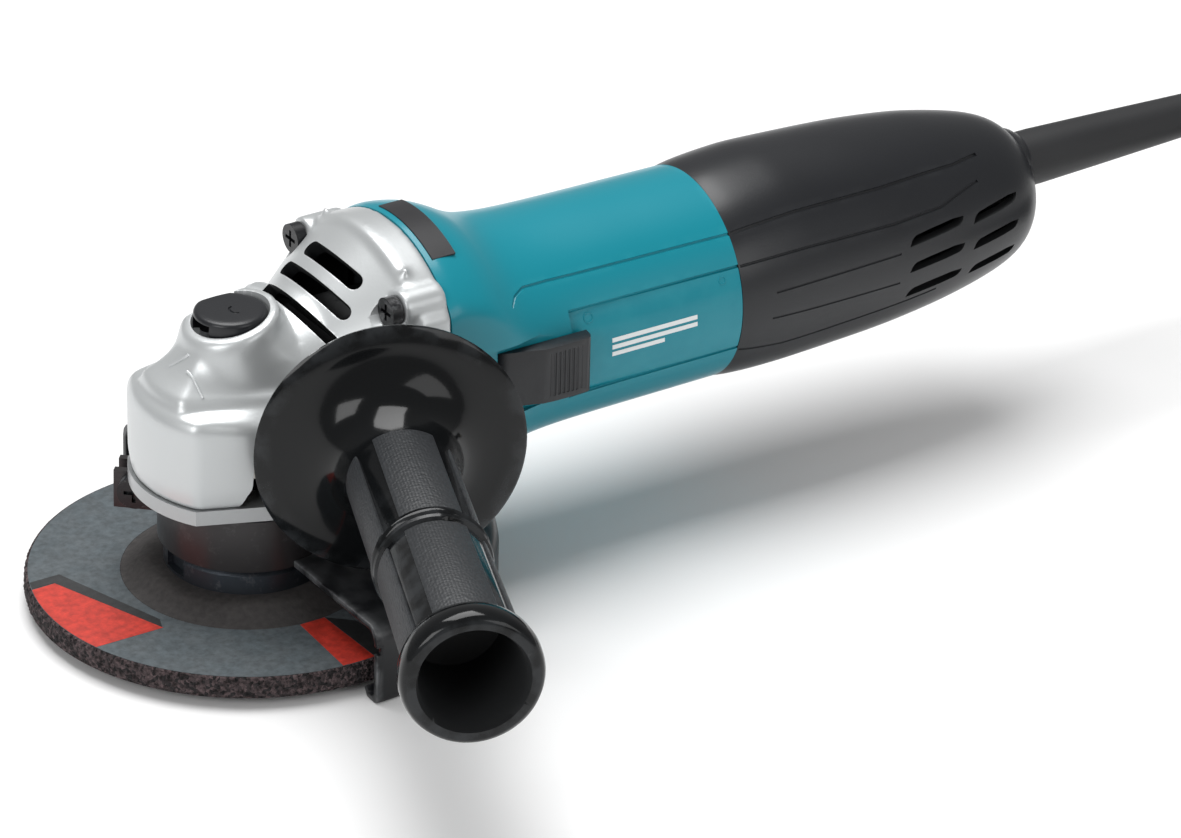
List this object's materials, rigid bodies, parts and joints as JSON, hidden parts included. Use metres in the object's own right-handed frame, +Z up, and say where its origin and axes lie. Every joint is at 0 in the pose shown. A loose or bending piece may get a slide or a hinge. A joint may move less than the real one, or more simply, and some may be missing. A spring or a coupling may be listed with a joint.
{
  "type": "angle grinder",
  "caption": "Small corded angle grinder with a slim barrel body, angled side handle, wheel guard, grinding wheel, spindle lock and slide switch.",
  "frame": {"origin": "centre of the spindle's lower end face, level with the guard's lower rim that the tool stands on", "axes": "+X back along the motor to the tail, +Z up along the wheel spindle, and the side handle towards -Y"},
  "size_m": [0.5183, 0.2217, 0.0988],
  "materials": {
    "cast_aluminium": "satin silver paint over a die casting",
    "housing_plastic": "moulded blue-green plastic with a soft gloss",
    "cover_plastic": "moulded black plastic, half gloss",
    "handle_plastic": "gloss black plastic with grained panels",
    "black_steel": "blackened steel, satin",
    "bright_steel": "turned steel",
    "gear_steel": "hardened steel with a film of grease",
    "bearing_steel": "polished",
    "abrasive": "bonded abrasive grain with a printed paper face",
    "core_steel": "stacked steel laminations",
    "copper_winding": "varnished copper wire",
    "brass": "drawn brass",
    "carbon": "matte carbon",
    "inner_plastic": "matte",
    "rubber": "matte black rubber"
  },
  "bodies": {
    "tool_body": {"gear_housing": "cast_aluminium", "gear_housing_screws": "black_steel", "lock_spring": "bright_steel", "top_needle_bearing": "bearing_steel", "spindle_bearing": "bearing_steel", "bearing_box": "cast_aluminium", "bearing_box_screws": "bright_steel", "dust_ring": "cast_aluminium", "side_handle_grip": "handle_plastic", "side_handle_stud": "bright_steel", "motor_housing": "housing_plastic", "fan_baffle": "cover_plastic", "front_bearing": "bearing_steel", "rear_bearing": "bearing_steel", "bearing_sleeve": "rubber", "stator_core": "core_steel", "stator_coils": "copper_winding", "stator_screws": "bright_steel", "brush_holders": "brass", "carbon_brushes": "carbon", "brush_springs": "bright_steel", "switch_body": "inner_plastic", "rear_cover": "cover_plastic", "rear_cover_screw": "bright_steel", "cord_guard": "rubber", "inner_cord": "rubber", "cord_clamp": "inner_plastic", "cord_clamp_screws": "bright_steel", "lead_wires": "rubber", "cord": "rubber", "cord_coil": "rubber", "cord_tie": "rubber", "plug_body": "rubber", "plug_pins": "brass"},
    "spindle_assembly": {"spindle": "bright_steel", "spindle_key": "bright_steel", "crown_gear": "gear_steel", "gear_circlip": "bright_steel", "inner_flange": "black_steel", "grinding_wheel": "abrasive", "lock_nut": "black_steel"},
    "armature": {"armature_shaft": "bright_steel", "armature_core": "core_steel", "armature_winding": "copper_winding", "commutator": "copper_winding", "pinion": "gear_steel", "pinion_nut": "bright_steel", "cooling_fan": "inner_plastic"},
    "spindle_lock": {"lock_button": "cover_plastic", "lock_pin": "bright_steel"},
    "switch_slide": {"switch_knob": "cover_plastic", "switch_rod": "inner_plastic", "switch_slider": "inner_plastic"},
    "guard": {"wheel_guard": "black_steel", "guard_collar": "black_steel", "guard_clamp_screw": "black_steel", "guard_clamp_nut": "black_steel"}
  },
  "joints": [
    {"name": "spindle_spin", "type": "hinge", "parent": "tool_body", "child": "spindle_assembly", "pos_m": [0, 0, 0], "axis": [0, 0, 1], "continuous": true},
    {"name": "armature_spin", "type": "hinge", "parent": "tool_body", "child": "armature", "pos_m": [0, 0, 0.06], "axis": [1, 0, 0], "continuous": true},
    {"name": "lock_press", "type": "slide", "parent": "tool_body", "child": "spindle_lock", "axis": [0, 0, -1], "range_m": [0, 0.005], "stiffness_N_per_m": 1200, "deforming": ["lock_spring"]},
    {"name": "switch_slide", "type": "slide", "parent": "tool_body", "child": "switch_slide", "axis": [-1, 0, 0], "range_m": [0, 0.006]},
    {"name": "guard_turn", "type": "hinge", "parent": "tool_body", "child": "guard", "pos_m": [0, 0, 0], "axis": [0, 0, 1], "range_deg": [-45, 60]}
  ],
  "couplings": [
    {"joint": "armature_spin", "follows": "spindle_spin", "ratio": 3.3636}
  ]
}
